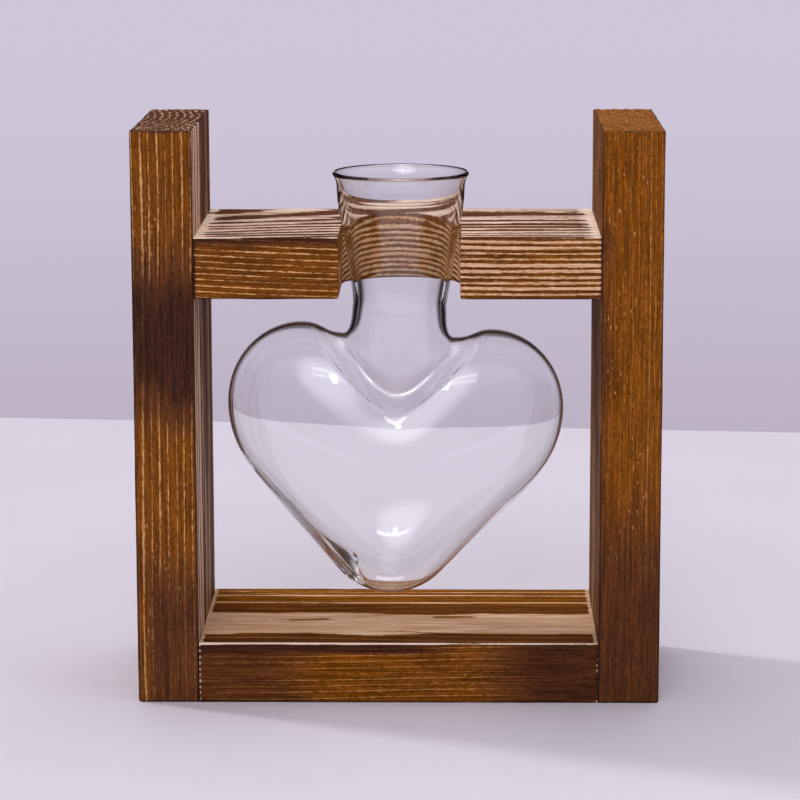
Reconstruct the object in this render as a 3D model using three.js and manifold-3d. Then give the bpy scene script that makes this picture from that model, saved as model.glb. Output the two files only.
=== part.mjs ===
// A small wooden stand with a blown glass heart vase that hangs by its flared cup in a notch.
// Millimetres, +Z up. The origin is the middle of the stand's footprint, on the table, and the
// notch opens towards -Y, the front.
import * as THREE from 'three';
import { mergeVertices } from 'three/addons/utils/BufferGeometryUtils.js';
import Module from 'manifold-3d';

const wasm = await Module();
wasm.setup();

// Boards of the stand
const BOARD_THICKNESS = 15;
const BOARD_WIDTH = 56;
const EDGE_EASE = 0.5;
const JOINT_GAP = 0.1;
const POST_RISE = 25.7;

// Air round the glass
const SIDE_ROOM = 7.25;
const TIP_ROOM = 7.7;
const NECK_SHOWN = 6;

// Notch in the upper rail
const NECK_SETBACK = 22.7;
const NECK_OFFSET = 0.5;
const NOTCH_PLAY = 2.9;
const SEAT_CLEARANCE = 0.3;

// Glass: the wall of the neck's tube, of the heart that was blown out of it, and of the lip
const GLASS_WALL = 1.45;
const BLOWN_WALL = 0.6;
const LIP_WALL = 0.8;

// Glass: the neck from its bore up to the lip
const NECK_BORE = 20.6;
const CUP_HEIGHT = 9.6;
const CUP_SWELL = 0.8;
const LIP_HEIGHT = 3.2;
const LIP_FLARE = 1.4;

// Glass: the heart's side outline, from the neck's root down to the tip
const HEART_WIDTH = 83.5;
const HEART_HEIGHT = 71.6;
const ROOT_DROP = 6.2;
const ROOT_SPREAD = 2.1;
const LOBE_RISE = 2.4;
const LOBE_SPACING = 47.1;
const LOBE_HEIGHT = 20.1;
const LOBE_RADIUS = 26;
const TIP_RADIUS = 17.5;

// Glass: the heart's front outline, where the neck runs down into the crease between the lobes
const HEART_DEPTH = 40;
const CREASE_DROP = 18.4;
const CREASE_SPREAD = 0.5;
const SHOULDER_DROP = 5.4;
const SHOULDER_SPREAD = 4.4;
const BELLY_DROP = 13.2;

// Glass: the sideways lean of the heart under its neck, and the lump that set beside the tip
const HEART_CANT = 2.4;
const CANT_BEND = 6;
const LUMP_SWELL = 3.4;
const LUMP_REACH = 5.6;
const LUMP_SIDE = 11;
const LUMP_HEIGHT = 5;

// Screws
const SCREW_LENGTH = 32;
const SCREW_DIAMETER = 3.5;
const SCREW_HEAD = 7;
const SCREW_HEAD_DEPTH = 2.4;
const SCREW_HEAD_LAND = 0.3;
const SCREW_POINT = 5;
const SCREW_SINK = 0.3;
const SCREW_SPREAD = 30;
const SCREW_CLEARANCE = 0.2;
const DRIVE_WIDTH = 1;
const DRIVE_SPAN = 3.8;
const DRIVE_DEPTH = 1.4;

// Facets
const ROUND_STEPS = 40;
const SCREW_STEPS = 12;
const NOTCH_STEPS = 18;

// Places that follow from the sizes above, with the glass heights counted up from the tip
const SPAN = HEART_WIDTH + 2 * SIDE_ROOM;
const FACE_X = SPAN / 2 + BOARD_THICKNESS;
const FRONT_Y = -BOARD_WIDTH / 2;
const NECK_Y = FRONT_Y + NECK_SETBACK;
const TIP_Z = BOARD_THICKNESS + TIP_ROOM;
const RAIL_FOOT_Z = TIP_Z + HEART_HEIGHT + NECK_SHOWN;
const RAIL_TOP_Z = RAIL_FOOT_Z + BOARD_THICKNESS;
const POST_HEIGHT = RAIL_TOP_Z + POST_RISE;
const NECK_RADIUS = NECK_BORE / 2 + GLASS_WALL;
const NOTCH_RADIUS = NECK_RADIUS + NOTCH_PLAY;
const SEAT_RADIUS = NOTCH_RADIUS - SEAT_CLEARANCE;
const CUP_RADIUS = NOTCH_RADIUS + CUP_SWELL;
const SEAT_HEIGHT = RAIL_TOP_Z - TIP_Z;
const CUP_TOP = SEAT_HEIGHT + CUP_HEIGHT;
const LOBE_TOP = HEART_HEIGHT - ROOT_DROP + LOBE_RISE;
const WIDEST_HEIGHT = LOBE_TOP - LOBE_HEIGHT;
const CREASE_HEIGHT = HEART_HEIGHT - CREASE_DROP;
const SHOULDER_HEIGHT = CREASE_HEIGHT - SHOULDER_DROP;
const BELLY_HEIGHT = SHOULDER_HEIGHT - BELLY_DROP;

// Finishes
const postWood = new THREE.MeshStandardMaterial({ color: 0x5f3d1e, roughness: 0.7, metalness: 0 });
const railWood = new THREE.MeshStandardMaterial({ color: 0x8a6134, roughness: 0.7, metalness: 0 });
const clearGlass = new THREE.MeshStandardMaterial({
  color: 0xeef1f5,
  roughness: 0.04,
  metalness: 0,
  transparent: true,
  opacity: 0.35,
});
const screwSteel = new THREE.MeshStandardMaterial({ color: 0x8d8f92, roughness: 0.4, metalness: 0.9 });

// Solids for cutting, and back to geometry
function solidOf(geometry) {
  const bare = geometry.clone();
  bare.deleteAttribute('normal');
  bare.deleteAttribute('uv');
  const merged = mergeVertices(bare);
  return new wasm.Manifold(new wasm.Mesh({
    numProp: 3,
    vertProperties: new Float32Array(merged.attributes.position.array),
    triVerts: new Uint32Array(merged.index.array),
  }));
}

function geometryOf(solid) {
  const mesh = solid.getMesh();
  const geometry = new THREE.BufferGeometry();
  geometry.setAttribute('position', new THREE.Float32BufferAttribute(mesh.vertProperties, 3));
  geometry.setIndex([...mesh.triVerts]);
  geometry.computeVertexNormals();
  return geometry;
}

function cut(geometry, cutters) {
  const whole = solidOf(geometry);
  return geometryOf(cutters.reduce((left, cutter) => left.subtract(solidOf(cutter)), whole));
}

// Boards: one section with eased long edges, drawn out to each board's length
function boardSection() {
  const x = BOARD_THICKNESS / 2;
  const y = BOARD_WIDTH / 2;
  const section = new THREE.Shape();
  section.moveTo(EDGE_EASE - x, -y);
  section.lineTo(x - EDGE_EASE, -y);
  section.lineTo(x, EDGE_EASE - y);
  section.lineTo(x, y - EDGE_EASE);
  section.lineTo(x - EDGE_EASE, y);
  section.lineTo(EDGE_EASE - x, y);
  section.lineTo(-x, y - EDGE_EASE);
  section.lineTo(-x, EDGE_EASE - y);
  section.closePath();
  return section;
}

function post(side) {
  const upright = new THREE.ExtrudeGeometry(boardSection(), {
    depth: POST_HEIGHT - 2 * EDGE_EASE,
    bevelSize: EDGE_EASE,
    bevelThickness: EDGE_EASE,
    bevelOffset: -EDGE_EASE,
    bevelSegments: 1,
  });
  return upright.translate(side * (SPAN + BOARD_THICKNESS) / 2, 0, EDGE_EASE);
}

function rail(footZ) {
  const length = SPAN - 2 * JOINT_GAP;
  const flat = new THREE.ExtrudeGeometry(boardSection(), { depth: length, bevelEnabled: false });
  return flat.rotateY(Math.PI / 2).translate(-length / 2, 0, footZ + BOARD_THICKNESS / 2);
}

// Notch: half round at the back, straight to the front, with both its edges eased
function notchCutters() {
  const mouth = FRONT_Y - NOTCH_RADIUS;
  const outline = new THREE.Shape();
  outline.moveTo(NECK_OFFSET - NOTCH_RADIUS, mouth);
  outline.lineTo(NECK_OFFSET + NOTCH_RADIUS, mouth);
  outline.absarc(NECK_OFFSET, NECK_Y, NOTCH_RADIUS, 0, Math.PI, false);
  outline.closePath();
  const through = new THREE.ExtrudeGeometry(outline, {
    depth: 2 * BOARD_THICKNESS,
    bevelEnabled: false,
    curveSegments: NOTCH_STEPS,
  });
  const eases = [RAIL_TOP_Z, RAIL_FOOT_Z - EDGE_EASE].map((z) => {
    const ease = new THREE.ExtrudeGeometry(outline, {
      depth: EDGE_EASE,
      bevelSize: EDGE_EASE,
      bevelThickness: EDGE_EASE,
      bevelSegments: 1,
      curveSegments: NOTCH_STEPS,
    });
    return ease.translate(0, 0, z);
  });
  return [through.translate(0, 0, RAIL_FOOT_Z - BOARD_THICKNESS / 2), ...eases];
}

// Screws: turned about their own axis, then laid along X with the head at the post's outer face
function screwProfile(clearance, top) {
  const shank = SCREW_DIAMETER / 2 + clearance;
  const head = SCREW_HEAD / 2 + clearance;
  return [
    new THREE.Vector2(0, -SCREW_LENGTH - clearance),
    new THREE.Vector2(shank, -SCREW_LENGTH + SCREW_POINT - clearance),
    new THREE.Vector2(shank, -SCREW_HEAD_DEPTH - clearance),
    new THREE.Vector2(head, -SCREW_HEAD_LAND - clearance),
    new THREE.Vector2(head, top),
    new THREE.Vector2(0, top),
  ];
}

function layAlongX(geometry, place) {
  geometry.rotateZ(-place.side * Math.PI / 2);
  return geometry.translate(place.side * (FACE_X - SCREW_SINK), place.y, place.z);
}

function screw(place) {
  const blank = new THREE.LatheGeometry(screwProfile(0, 0), SCREW_STEPS);
  const slots = [0, Math.PI / 2].map((quarter) => {
    const slot = new THREE.BoxGeometry(DRIVE_SPAN, 2 * DRIVE_DEPTH, DRIVE_WIDTH);
    return slot.rotateY(quarter + place.turn);
  });
  return layAlongX(cut(blank, slots), place);
}

function screwHole(place) {
  return layAlongX(new THREE.LatheGeometry(screwProfile(SCREW_CLEARANCE, SCREW_HEAD), SCREW_STEPS), place);
}

// Two screws in each joint, and each one came to rest at an angle of its own
function screwPlaces() {
  const places = [];
  for (const [sideName, side] of [['left', -1], ['right', 1]]) {
    for (const [railName, footZ] of [['base', 0], ['upper', RAIL_FOOT_Z]]) {
      for (const [rowName, row] of [['front', -1], ['back', 1]]) {
        places.push({
          name: `screw_${sideName}_${railName}_${rowName}`,
          rail: railName,
          side,
          y: row * SCREW_SPREAD / 2,
          z: footZ + BOARD_THICKNESS / 2,
          turn: places.length,
        });
      }
    }
  }
  return places;
}

// Glass: two half outlines with matching stretches, one at the heart's side and one at its front.
// Both start with the same lip, cup and neck.
function neckCurves() {
  const lipFoot = CUP_RADIUS + LIP_FLARE / 4;
  const seat = SEAT_HEIGHT - EDGE_EASE;
  const neckTop = HEART_HEIGHT + NECK_SHOWN / 2;
  return [
    new THREE.QuadraticBezierCurve(
      new THREE.Vector2(CUP_RADIUS + LIP_FLARE, CUP_TOP + LIP_HEIGHT),
      new THREE.Vector2(lipFoot, CUP_TOP + LIP_HEIGHT / 2),
      new THREE.Vector2(lipFoot, CUP_TOP),
    ),
    new THREE.SplineCurve([
      new THREE.Vector2(lipFoot, CUP_TOP),
      new THREE.Vector2(CUP_RADIUS, (CUP_TOP + SEAT_HEIGHT) / 2),
      new THREE.Vector2(SEAT_RADIUS, seat),
      new THREE.Vector2((SEAT_RADIUS + NECK_RADIUS) / 2, (seat + neckTop) / 2),
      new THREE.Vector2(NECK_RADIUS, neckTop),
      new THREE.Vector2(NECK_RADIUS, HEART_HEIGHT),
    ]),
  ];
}

// Angle at which a straight line touches both the lobe's round and the tip's round
function touchAngle() {
  const across = HEART_WIDTH / 2 - LOBE_RADIUS;
  const up = WIDEST_HEIGHT - TIP_RADIUS;
  return Math.atan2(up, across) - Math.acos((TIP_RADIUS - LOBE_RADIUS) / Math.hypot(across, up));
}

function sideCurves() {
  const root = new THREE.Vector2(NECK_RADIUS, HEART_HEIGHT);
  const dip = new THREE.Vector2(NECK_RADIUS + ROOT_SPREAD, HEART_HEIGHT - ROOT_DROP);
  const lobe = new THREE.Vector2(LOBE_SPACING / 2, LOBE_TOP);
  const dipEase = new THREE.Vector2((dip.x + lobe.x) / 2, dip.y);
  const lobeEase = new THREE.Vector2((dip.x + lobe.x) / 2, lobe.y);
  const lobeReach = HEART_WIDTH / 2 - lobe.x;
  const lobeMiddle = HEART_WIDTH / 2 - LOBE_RADIUS;
  const touch = touchAngle();
  const lower = new THREE.EllipseCurve(lobeMiddle, WIDEST_HEIGHT, LOBE_RADIUS, LOBE_RADIUS, 0, touch, true);
  const tip = new THREE.EllipseCurve(0, TIP_RADIUS, TIP_RADIUS, TIP_RADIUS, touch, -Math.PI / 2, true);
  return [
    new THREE.QuadraticBezierCurve(root, new THREE.Vector2(root.x, dip.y), dip),
    new THREE.CubicBezierCurve(dip, dipEase, lobeEase, lobe),
    new THREE.EllipseCurve(lobe.x, WIDEST_HEIGHT, lobeReach, LOBE_HEIGHT, Math.PI / 2, 0, true),
    lower,
    new THREE.LineCurve(lower.getPoint(1), tip.getPoint(0)),
    tip,
  ];
}

function frontCurves() {
  const root = new THREE.Vector2(NECK_RADIUS, HEART_HEIGHT);
  const crease = new THREE.Vector2(NECK_RADIUS + CREASE_SPREAD, CREASE_HEIGHT);
  const shoulder = new THREE.Vector2(NECK_RADIUS + SHOULDER_SPREAD, SHOULDER_HEIGHT);
  const belly = new THREE.Vector2(HEART_DEPTH / 2, BELLY_HEIGHT);
  const fold = new THREE.Vector2(crease.x, crease.y - SHOULDER_DROP / 4);
  const swell = new THREE.Vector2(belly.x, belly.y + BELLY_DROP / 2);
  const third = -Math.PI / 6;
  return [
    new THREE.LineCurve(root, crease),
    new THREE.QuadraticBezierCurve(crease, fold, shoulder),
    new THREE.QuadraticBezierCurve(shoulder, swell, belly),
    new THREE.EllipseCurve(0, belly.y, belly.x, belly.y, 0, third, true),
    new THREE.EllipseCurve(0, belly.y, belly.x, belly.y, third, 2 * third, true),
    new THREE.EllipseCurve(0, belly.y, belly.x, belly.y, 2 * third, 3 * third, true),
  ];
}

// Each stretch of the outlines: its steps, and how round the valley between the lobes is at its end
const STRETCHES = [
  { steps: 3, valley: 1 },
  { steps: 9, valley: 1 },
  { steps: 4, valley: 1 },
  { steps: 4, valley: 0.2 },
  { steps: 6, valley: 0.7 },
  { steps: 3, valley: 1.5 },
  { steps: 2, valley: 2 },
  { steps: 4, valley: 2 },
];
const sideOutline = [...neckCurves(), ...sideCurves()];
const frontOutline = [...neckCurves(), ...frontCurves()];

// Place on the outer skin: along counts stretches from the lip to the tip, and turn goes round the
// neck's axis. Each ring climbs from the valley at the front and back to the lobes at the sides.
function skin(along, turn) {
  const stretch = Math.min(Math.floor(along), STRETCHES.length - 1);
  const part = along - stretch;
  const side = sideOutline[stretch].getPoint(part);
  const front = frontOutline[stretch].getPoint(part);
  const valleyBefore = STRETCHES[Math.max(stretch - 1, 0)].valley;
  const valley = THREE.MathUtils.lerp(valleyBefore, STRETCHES[stretch].valley, part);
  const climb = (Math.hypot(Math.cos(turn), valley) - valley) / (Math.hypot(1, valley) - valley);
  return new THREE.Vector3(
    side.x * Math.cos(turn),
    front.x * Math.sin(turn),
    THREE.MathUtils.lerp(front.y, side.y, climb),
  );
}

function inward(along, turn) {
  const nudge = 1e-3;
  const above = skin(Math.max(along - nudge, 0), turn);
  const below = skin(Math.min(along + nudge, STRETCHES.length), turn);
  const round = skin(along, turn + nudge).sub(skin(along, turn - nudge));
  return round.cross(below.sub(above)).normalize();
}

// Thickness of the glass: full in the neck, thin over the heart and at the lip, swollen at the lump
function wallAt(place) {
  const neck = THREE.MathUtils.smoothstep(place.z, CREASE_HEIGHT, HEART_HEIGHT + NECK_SHOWN);
  const lip = THREE.MathUtils.smoothstep(place.z, SEAT_HEIGHT, CUP_TOP + LIP_HEIGHT);
  const even = BLOWN_WALL + (GLASS_WALL - BLOWN_WALL) * neck + (LIP_WALL - GLASS_WALL) * lip;
  const away = Math.hypot(place.x + LUMP_SIDE, place.y, place.z - LUMP_HEIGHT) / LUMP_REACH;
  return even + LUMP_SWELL * Math.exp(-away * away);
}

function innerSkin(along, turn) {
  const outer = skin(along, turn);
  return outer.clone().addScaledVector(inward(along, turn), wallAt(outer));
}

function lipTop(turn) {
  const middle = skin(0, turn).lerp(innerSkin(0, turn), 0.5);
  return middle.setZ(CUP_TOP + LIP_HEIGHT + LIP_WALL / 2);
}

// The neck stands upright in the notch and bends a little under it, so the heart leans to one side
function canted(place) {
  const tilt = THREE.MathUtils.degToRad(HEART_CANT);
  const drop = Math.max(HEART_HEIGHT + NECK_SHOWN + CANT_BEND - place.z, 0);
  const bent = Math.min(drop / CANT_BEND, 1);
  const shift = Math.tan(tilt) * bent * (drop - CANT_BEND * bent / 2);
  return new THREE.Vector3(place.x - shift, place.y, place.z - place.x * Math.sin(tilt) * bent);
}

function ring(pointAt) {
  const turns = Array.from({ length: ROUND_STEPS }, (_, step) => step * 2 * Math.PI / ROUND_STEPS);
  return turns.map((turn) => canted(pointAt(turn)));
}

// A closed skin through rings of equal count, from one end point to the other
function loft(startPoint, rings, endPoint) {
  const points = [startPoint, ...rings.flat(), endPoint];
  const index = [];
  const at = (row, step) => 1 + row * ROUND_STEPS + step % ROUND_STEPS;
  const lastRow = rings.length - 1;
  for (let step = 0; step < ROUND_STEPS; step += 1) {
    index.push(0, at(0, step + 1), at(0, step));
    for (let row = 0; row < lastRow; row += 1) {
      index.push(at(row, step), at(row, step + 1), at(row + 1, step));
      index.push(at(row, step + 1), at(row + 1, step + 1), at(row + 1, step));
    }
    index.push(at(lastRow, step), at(lastRow, step + 1), points.length - 1);
  }
  const geometry = new THREE.BufferGeometry().setFromPoints(points);
  geometry.setIndex(index);
  geometry.computeVertexNormals();
  return geometry;
}

// The vase as one wall: up the outside from the tip, over the lip and down the inside
function heartVase() {
  const places = STRETCHES.flatMap(({ steps }, stretch) => (
    Array.from({ length: steps }, (_, step) => stretch + step / steps)
  ));
  const outside = places.map((along) => ring((turn) => skin(along, turn))).reverse();
  const inside = places.map((along) => ring((turn) => innerSkin(along, turn)));
  const outerTip = new THREE.Vector3(0, 0, 0);
  const innerTip = new THREE.Vector3(0, 0, wallAt(outerTip));
  return loft(canted(outerTip), [...outside, ring(lipTop), ...inside], canted(innerTip));
}

// Assembly
function addMesh(group, name, geometry, material) {
  const mesh = new THREE.Mesh(geometry, material);
  mesh.name = name;
  group.add(mesh);
}

const screws = screwPlaces();
const stand = new THREE.Group();
for (const [name, side] of [['left_post', -1], ['right_post', 1]]) {
  const holes = screws.filter((place) => place.side === side).map(screwHole);
  addMesh(stand, name, cut(post(side), holes), postWood);
}
const baseHoles = screws.filter((place) => place.rail === 'base').map(screwHole);
addMesh(stand, 'base_rail', cut(rail(0), baseHoles), railWood);
const upperHoles = screws.filter((place) => place.rail === 'upper').map(screwHole);
addMesh(stand, 'upper_rail', cut(rail(RAIL_FOOT_Z), [...upperHoles, ...notchCutters()]), railWood);
for (const place of screws) {
  addMesh(stand, place.name, screw(place), screwSteel);
}

const vase = new THREE.Group();
vase.position.set(NECK_OFFSET, NECK_Y, TIP_Z);
addMesh(vase, 'heart_vase', heartVase(), clearGlass);

const vaseInStand = new THREE.Group();
vaseInStand.add(stand, vase);

export default vaseInStand;
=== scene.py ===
"""Dresses a heart-shaped glass vase and its charred wooden stand, and sets them on a pale table."""
import logging
import math
from abc import ABC, abstractmethod
from collections.abc import Sequence
from dataclasses import dataclass, field
from enum import Enum, IntEnum

import bpy
import numpy as np
from mathutils import Matrix, Vector, noise
from numpy.typing import NDArray


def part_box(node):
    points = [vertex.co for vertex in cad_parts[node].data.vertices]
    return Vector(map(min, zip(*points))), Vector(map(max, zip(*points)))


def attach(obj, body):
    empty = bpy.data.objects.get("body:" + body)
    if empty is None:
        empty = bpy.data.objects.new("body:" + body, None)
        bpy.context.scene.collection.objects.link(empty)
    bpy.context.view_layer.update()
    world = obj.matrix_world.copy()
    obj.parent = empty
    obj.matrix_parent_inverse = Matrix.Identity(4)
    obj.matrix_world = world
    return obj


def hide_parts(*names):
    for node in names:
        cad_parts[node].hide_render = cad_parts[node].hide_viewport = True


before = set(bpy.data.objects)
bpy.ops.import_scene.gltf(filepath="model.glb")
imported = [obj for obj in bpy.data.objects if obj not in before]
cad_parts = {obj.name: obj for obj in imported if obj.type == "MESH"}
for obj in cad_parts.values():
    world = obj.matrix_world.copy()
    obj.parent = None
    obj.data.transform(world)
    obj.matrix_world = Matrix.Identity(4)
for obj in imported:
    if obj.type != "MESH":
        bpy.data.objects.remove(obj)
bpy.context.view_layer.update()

LOG = logging.getLogger("heart_vase")
MM = 0.001
STAND = "stand"
VASE = "vase"

Floats = NDArray[np.float64]
Whole = NDArray[np.int64]
Piece = bpy.types.Object
Material = bpy.types.Material
Socket = bpy.types.NodeSocket
Value = float | Sequence[float] | Socket
Span = tuple[float, float]
Ramp = tuple[float, float, float, float]
Place = tuple[float, float, float]
Rgb = tuple[int, int, int]
Rgba = tuple[float, float, float, float]
EVERYWHERE: Span = (-math.inf, math.inf)
FACE_EDGE: Span = (0.45, 0.75)
SNAP_DIGITS = 7
TINY = 1e-9


def tone(colour: Rgb) -> Rgba:
    """Turns a screen colour into the linear colour that shaders take.

    Args:
        colour: Red, green and blue, from 0 to 255.

    Returns:
        Linear red, green, blue and an alpha of 1.
    """
    shares = [level / 255 for level in colour]
    linear = [s / 12.92 if s <= 0.04045 else ((s + 0.055) / 1.055) ** 2.4 for s in shares]
    return (linear[0], linear[1], linear[2], 1.0)


def smoothstep(low: Floats | float, high: Floats | float, value: Floats) -> Floats:
    """Rises smoothly from 0 at low to 1 at high."""
    share = np.clip((value - low) / np.maximum(high - low, TINY), 0.0, 1.0)
    return share * share * (3 - 2 * share)


def noise_at(points: Floats) -> Floats:
    """Gives smooth noise between about -1 and 1 at each of many points."""
    return np.fromiter((noise.noise(point) for point in points), float, len(points))


def octaves(points: Floats, pitches: Sequence[Span]) -> Floats:
    """Adds up noise of several sizes, each given by what its points are divided by and by its share."""
    return sum(share * noise_at(points / size) for size, share in pitches)


class Axis(IntEnum):
    """The frame's axes by their place in a coordinate."""

    X = 0
    Y = 1
    Z = 2


class Face(Enum):
    """The way that a face of a board looks."""

    LEFT = (-1.0, 0.0, 0.0)
    RIGHT = (1.0, 0.0, 0.0)
    FRONT = (0.0, -1.0, 0.0)
    BOTTOM = (0.0, 0.0, -1.0)
    TOP = (0.0, 0.0, 1.0)

    def share(self, normals: Floats) -> Floats:
        """Says how much each normal looks this way, from 0 to 1."""
        return smoothstep(*FACE_EDGE, normals @ np.array(self.value))


@dataclass(frozen=True)
class Spots:
    """Noise with spots of one size, in metres, that may be longer along the grain."""

    size: float
    detail: float = 2.0
    roughness: float = 0.5
    length: float = 1.0


class NodeSheet:
    """A node tree, with a short call for each kind of node that the finishes and the room use."""

    def __init__(self, tree: bpy.types.NodeTree) -> None:
        """Takes over a node tree and empties it."""
        self.tree = tree
        tree.nodes.clear()

    def node(self, kind: str) -> bpy.types.Node:
        """Adds a shader node of one kind."""
        return self.tree.nodes.new(f"ShaderNode{kind}")

    def feed(self, socket: Socket, value: Value) -> None:
        """Links a socket to another node, or sets it to a constant.

        Args:
            socket: The input to fill.
            value: Another node's output, or a constant.
        """
        if isinstance(value, bpy.types.NodeSocket):
            self.tree.links.new(value, socket)
        else:
            socket.default_value = value

    def math(self, operation: str, *values: Value) -> Socket:
        """Works out one sum.

        Args:
            operation: The Math node's operation.
            *values: Its inputs in order.

        Returns:
            The result's socket.
        """
        node = self.node("Math")
        node.operation = operation
        for socket, value in zip(node.inputs, values):
            self.feed(socket, value)
        return node.outputs[0]

    def mix(self, share: Value, first: Value, second: Value, blend: str = "MIX") -> Socket:
        """Mixes two colours.

        Args:
            share: How much of the second colour shows, from 0 to 1.
            first: The colour at 0.
            second: The colour at 1.
            blend: The Mix node's blend type.

        Returns:
            The mixed colour's socket.
        """
        node = self.node("Mix")
        node.data_type = "RGBA"
        node.blend_type = blend
        for index, value in ((0, share), (6, first), (7, second)):
            self.feed(node.inputs[index], value)
        return node.outputs[2]

    def span(self, value: Value, *ends: Value) -> Socket:
        """Carries a value smoothly from one range to another.

        Args:
            value: The value to carry over.
            *ends: Where the first range starts and ends, and what these become if not 0 and 1.

        Returns:
            The new value's socket.
        """
        node = self.node("MapRange")
        node.interpolation_type = "SMOOTHSTEP"
        for socket, given in zip(node.inputs, (value, *ends)):
            self.feed(socket, given)
        return node.outputs[0]


class FinishSheet(NodeSheet):
    """One material's node tree, round a Principled shader."""

    def __init__(self, name: str) -> None:
        """Makes a material with a bare shader.

        Args:
            name: The material's name.
        """
        self.material = bpy.data.materials.new(name)
        self.material.use_nodes = True
        super().__init__(self.material.node_tree)
        self.output = self.node("OutputMaterial")
        self.shader = self.node("BsdfPrincipled")
        self.feed(self.output.inputs["Surface"], self.shader.outputs[0])

    def set(self, **values: Value) -> None:
        """Fills the shader's own inputs, named with underscores for spaces."""
        for name, value in values.items():
            self.feed(self.shader.inputs[name.replace("_", " ")], value)

    def attribute(self, name: str) -> Socket:
        """Reads a number that the mesh holds at each point.

        Args:
            name: The number's name.

        Returns:
            The number's socket.
        """
        node = self.node("Attribute")
        node.attribute_name = name
        return node.outputs["Fac"]

    def spots(self, kind: Spots, along: Axis = Axis.Z) -> Socket:
        """Gives noise between about 0 and 1 over the piece's own coordinates.

        Args:
            kind: The noise.
            along: The axis that its spots are longer on.

        Returns:
            The noise's socket.
        """
        scale = [1.0, 1.0, 1.0]
        scale[along] = 1.0 / kind.length
        mapping, node = self.node("Mapping"), self.node("TexNoise")
        self.feed(mapping.inputs["Vector"], self.node("TexCoord").outputs["Object"])
        self.feed(mapping.inputs["Scale"], scale)
        self.feed(node.inputs["Vector"], mapping.outputs[0])
        self.feed(node.inputs["Scale"], 1.0 / kind.size)
        self.feed(node.inputs["Detail"], kind.detail)
        self.feed(node.inputs["Roughness"], kind.roughness)
        return node.outputs["Fac"]

    def bump(self, height: Socket, depth: float, strength: float) -> None:
        """Roughens the shader's normal.

        Args:
            height: The height, from 0 to 1.
            depth: What a height of 1 stands for, in metres.
            strength: How much of it shows.
        """
        node = self.node("Bump")
        self.feed(node.inputs["Strength"], strength)
        self.feed(node.inputs["Distance"], depth)
        self.feed(node.inputs["Height"], height)
        self.set(Normal=node.outputs[0])


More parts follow.
